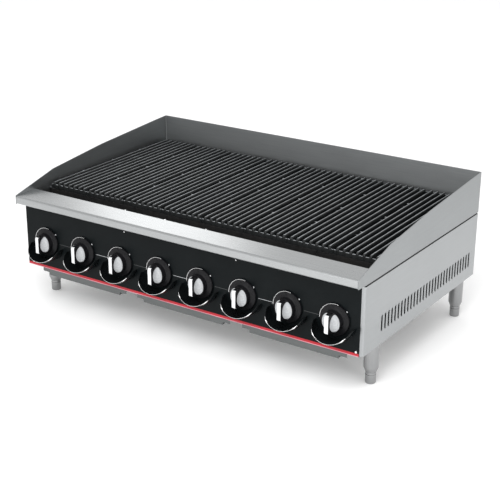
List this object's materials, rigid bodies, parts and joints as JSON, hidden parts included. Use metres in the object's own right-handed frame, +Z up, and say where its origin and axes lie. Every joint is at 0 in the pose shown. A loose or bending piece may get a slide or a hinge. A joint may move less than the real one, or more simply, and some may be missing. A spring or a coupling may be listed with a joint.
{
  "type": "charbroiler grill",
  "caption": "Countertop gas charbroiler with a row of burners under lift-out cast grates, a splash guard, guarded control knobs, slide-out drip trays and adjustable feet.",
  "frame": {"origin": "middle of the footprint, on the floor under the feet", "axes": "+X to the right along the row of knobs, +Y to the back, +Z up; the front faces -Y"},
  "size_m": [1.219, 0.7811, 0.456],
  "materials": {
    "stainless": "brushed stainless steel",
    "dark_steel": "dark heat-stained steel",
    "black_enamel": "black gloss enamel with a red stripe along the bottom edge",
    "cast_iron": "seasoned black cast iron",
    "brass": "plain brass and pipe",
    "knob_black": "black with a satin silver face"
  },
  "bodies": {
    "cabinet": {"left_side_panel": "stainless", "right_side_panel": "stainless", "back_panel": "stainless", "front_rail": "stainless", "left_splash": "stainless", "right_splash": "stainless", "back_splash": "stainless", "control_panel": "black_enamel", "base_frame": "dark_steel", "firebox": "dark_steel", "grease_trough": "dark_steel", "gas_inlet_pipe": "dark_steel", "gas_manifold": "brass", "pilot_tube": "brass", "radiant_1": "cast_iron", "radiant_2": "cast_iron", "radiant_3": "cast_iron", "radiant_4": "cast_iron", "radiant_5": "cast_iron", "radiant_6": "cast_iron", "radiant_7": "cast_iron", "radiant_8": "cast_iron", "burner_1": "cast_iron", "burner_2": "cast_iron", "burner_3": "cast_iron", "burner_4": "cast_iron", "burner_5": "cast_iron", "burner_6": "cast_iron", "burner_7": "cast_iron", "burner_8": "cast_iron", "front_left_leg": "stainless", "front_right_leg": "stainless", "rear_left_leg": "stainless", "rear_right_leg": "stainless"},
    "knob_1": {"knob_1": "knob_black"},
    "knob_2": {"knob_2": "knob_black"},
    "knob_3": {"knob_3": "knob_black"},
    "knob_4": {"knob_4": "knob_black"},
    "knob_5": {"knob_5": "knob_black"},
    "knob_6": {"knob_6": "knob_black"},
    "knob_7": {"knob_7": "knob_black"},
    "knob_8": {"knob_8": "knob_black"},
    "grate_1": {"grate_1": "cast_iron"},
    "grate_2": {"grate_2": "cast_iron"},
    "grate_3": {"grate_3": "cast_iron"},
    "grate_4": {"grate_4": "cast_iron"},
    "grate_5": {"grate_5": "cast_iron"},
    "grate_6": {"grate_6": "cast_iron"},
    "grate_7": {"grate_7": "cast_iron"},
    "grate_8": {"grate_8": "cast_iron"},
    "drip_tray_1": {"drip_tray_1": "stainless"},
    "drip_tray_2": {"drip_tray_2": "stainless"},
    "drip_tray_3": {"drip_tray_3": "stainless"},
    "front_left_foot": {"front_left_foot": "stainless"},
    "front_right_foot": {"front_right_foot": "stainless"},
    "rear_left_foot": {"rear_left_foot": "stainless"},
    "rear_right_foot": {"rear_right_foot": "stainless"}
  },
  "joints": [
    {"name": "knob_1_turn", "type": "hinge", "parent": "cabinet", "child": "knob_1", "pos_m": [-0.5215, -0.3345, 0.2094], "axis": [0, -1, 0], "range_deg": [0, 180]},
    {"name": "knob_2_turn", "type": "hinge", "parent": "cabinet", "child": "knob_2", "pos_m": [-0.3725, -0.3345, 0.2094], "axis": [0, -1, 0], "range_deg": [0, 180]},
    {"name": "knob_3_turn", "type": "hinge", "parent": "cabinet", "child": "knob_3", "pos_m": [-0.2235, -0.3345, 0.2094], "axis": [0, -1, 0], "range_deg": [0, 180]},
    {"name": "knob_4_turn", "type": "hinge", "parent": "cabinet", "child": "knob_4", "pos_m": [-0.0745, -0.3345, 0.2094], "axis": [0, -1, 0], "range_deg": [0, 180]},
    {"name": "knob_5_turn", "type": "hinge", "parent": "cabinet", "child": "knob_5", "pos_m": [0.0745, -0.3345, 0.2094], "axis": [0, -1, 0], "range_deg": [0, 180]},
    {"name": "knob_6_turn", "type": "hinge", "parent": "cabinet", "child": "knob_6", "pos_m": [0.2235, -0.3345, 0.2094], "axis": [0, -1, 0], "range_deg": [0, 180]},
    {"name": "knob_7_turn", "type": "hinge", "parent": "cabinet", "child": "knob_7", "pos_m": [0.3725, -0.3345, 0.2094], "axis": [0, -1, 0], "range_deg": [0, 180]},
    {"name": "knob_8_turn", "type": "hinge", "parent": "cabinet", "child": "knob_8", "pos_m": [0.5215, -0.3345, 0.2094], "axis": [0, -1, 0], "range_deg": [0, 180]},
    {"name": "drip_tray_1_slide", "type": "slide", "parent": "cabinet", "child": "drip_tray_1", "axis": [0, -1, 0], "range_m": [0, 0.55]},
    {"name": "drip_tray_2_slide", "type": "slide", "parent": "cabinet", "child": "drip_tray_2", "axis": [0, -1, 0], "range_m": [0, 0.55]},
    {"name": "drip_tray_3_slide", "type": "slide", "parent": "cabinet", "child": "drip_tray_3", "axis": [0, -1, 0], "range_m": [0, 0.55]},
    {"name": "grate_1_lift", "type": "slide", "parent": "cabinet", "child": "grate_1", "axis": [0, 0, 1], "range_m": [0, 0.12]},
    {"name": "grate_2_lift", "type": "slide", "parent": "cabinet", "child": "grate_2", "axis": [0, 0, 1], "range_m": [0, 0.12]},
    {"name": "grate_3_lift", "type": "slide", "parent": "cabinet", "child": "grate_3", "axis": [0, 0, 1], "range_m": [0, 0.12]},
    {"name": "grate_4_lift", "type": "slide", "parent": "cabinet", "child": "grate_4", "axis": [0, 0, 1], "range_m": [0, 0.12]},
    {"name": "grate_5_lift", "type": "slide", "parent": "cabinet", "child": "grate_5", "axis": [0, 0, 1], "range_m": [0, 0.12]},
    {"name": "grate_6_lift", "type": "slide", "parent": "cabinet", "child": "grate_6", "axis": [0, 0, 1], "range_m": [0, 0.12]},
    {"name": "grate_7_lift", "type": "slide", "parent": "cabinet", "child": "grate_7", "axis": [0, 0, 1], "range_m": [0, 0.12]},
    {"name": "grate_8_lift", "type": "slide", "parent": "cabinet", "child": "grate_8", "axis": [0, 0, 1], "range_m": [0, 0.12]},
    {"name": "front_left_foot_adjust", "type": "slide", "parent": "cabinet", "child": "front_left_foot", "axis": [0, 0, -1], "range_m": [0, 0.025]},
    {"name": "front_right_foot_adjust", "type": "slide", "parent": "cabinet", "child": "front_right_foot", "axis": [0, 0, -1], "range_m": [0, 0.025]},
    {"name": "rear_left_foot_adjust", "type": "slide", "parent": "cabinet", "child": "rear_left_foot", "axis": [0, 0, -1], "range_m": [0, 0.025]},
    {"name": "rear_right_foot_adjust", "type": "slide", "parent": "cabinet", "child": "rear_right_foot", "axis": [0, 0, -1], "range_m": [0, 0.025]}
  ]
}
